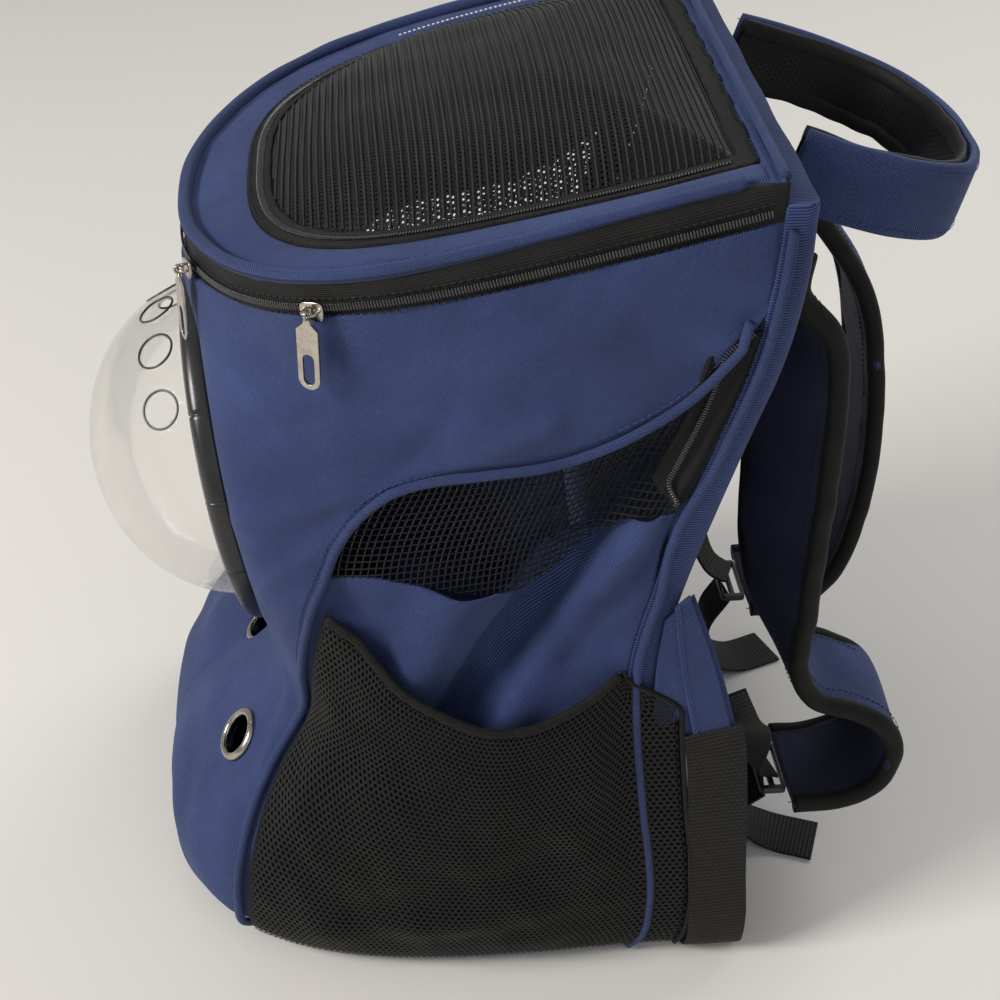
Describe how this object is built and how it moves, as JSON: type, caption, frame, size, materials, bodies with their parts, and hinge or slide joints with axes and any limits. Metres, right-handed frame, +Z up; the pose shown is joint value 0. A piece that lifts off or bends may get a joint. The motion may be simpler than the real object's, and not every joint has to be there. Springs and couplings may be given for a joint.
{
  "type": "bubble pet carrier backpack",
  "caption": "Soft backpack for carrying a small pet, with a clear domed window, mesh windows, net side pockets, a zipped mesh lid, padded straps and a top handle",
  "frame": {"origin": "on the floor, under the middle of the bag body, on the underside of the base panel", "axes": "+Z up; -Y out of the front, where the domed window is; +Y out of the back, where the straps are; +X to the side that carries one of the zip pulls"},
  "size_m": [0.3448, 0.4423, 0.4488],
  "materials": {
    "blue_cloth": "twill woven polyester cloth",
    "black_net": "open net and air mesh",
    "black_webbing": "ribbed webbing, tape and elastic binding",
    "clear_plastic": "clear moulded plastic",
    "black_plastic": "moulded, slightly glossy",
    "nickel": "polished nickel plate"
  },
  "bodies": {
    "bag": {"front_wrap": "blue_cloth", "side_cloth_right": "blue_cloth", "side_cloth_left": "blue_cloth", "seam_piping_right": "blue_cloth", "seam_piping_left": "blue_cloth", "back_piping_right": "blue_cloth", "back_piping_left": "blue_cloth", "back_panel": "blue_cloth", "base_panel": "blue_cloth", "lid_cloth": "blue_cloth", "lid_piping": "blue_cloth", "hinge_piping": "blue_cloth", "handle": "blue_cloth", "shoulder_strap_right": "blue_cloth", "shoulder_strap_left": "blue_cloth", "wing_right": "blue_cloth", "wing_left": "blue_cloth", "side_net_right": "black_net", "side_net_left": "black_net", "side_pocket_right": "black_net", "side_pocket_left": "black_net", "window_net": "black_net", "handle_lining": "black_net", "pocket_binding_right": "black_webbing", "pocket_binding_left": "black_webbing", "rim_zip_tape": "black_webbing", "window_tape": "black_webbing", "corner_webbing_right": "black_webbing", "corner_webbing_left": "black_webbing", "strap_webbing_right": "black_webbing", "strap_webbing_left": "black_webbing", "webbing_tail_right": "black_webbing", "webbing_tail_left": "black_webbing", "bubble_dome": "clear_plastic", "bubble_ring": "black_plastic", "rim_zip_coil": "black_plastic", "window_coil": "black_plastic", "strap_buckle_right": "black_plastic", "strap_buckle_left": "black_plastic", "eyelet_middle": "nickel", "eyelet_right": "nickel", "eyelet_left": "nickel", "zip_slider_side": "nickel", "zip_slider_front": "nickel"},
    "pull_side": {"zip_pull_side": "nickel"},
    "pull_front": {"zip_pull_front": "nickel"}
  },
  "joints": [
    {"name": "pull_side_swing", "type": "hinge", "parent": "bag", "child": "pull_side", "pos_m": [0.13662, -0.07619, 0.38363], "axis": [-0.4794, -0.8776, 0], "range_deg": [0, 150]},
    {"name": "pull_front_swing", "type": "hinge", "parent": "bag", "child": "pull_front", "pos_m": [0.06439, -0.13403, 0.36994], "axis": [-0.9363, -0.3511, 0], "range_deg": [0, 150]}
  ]
}
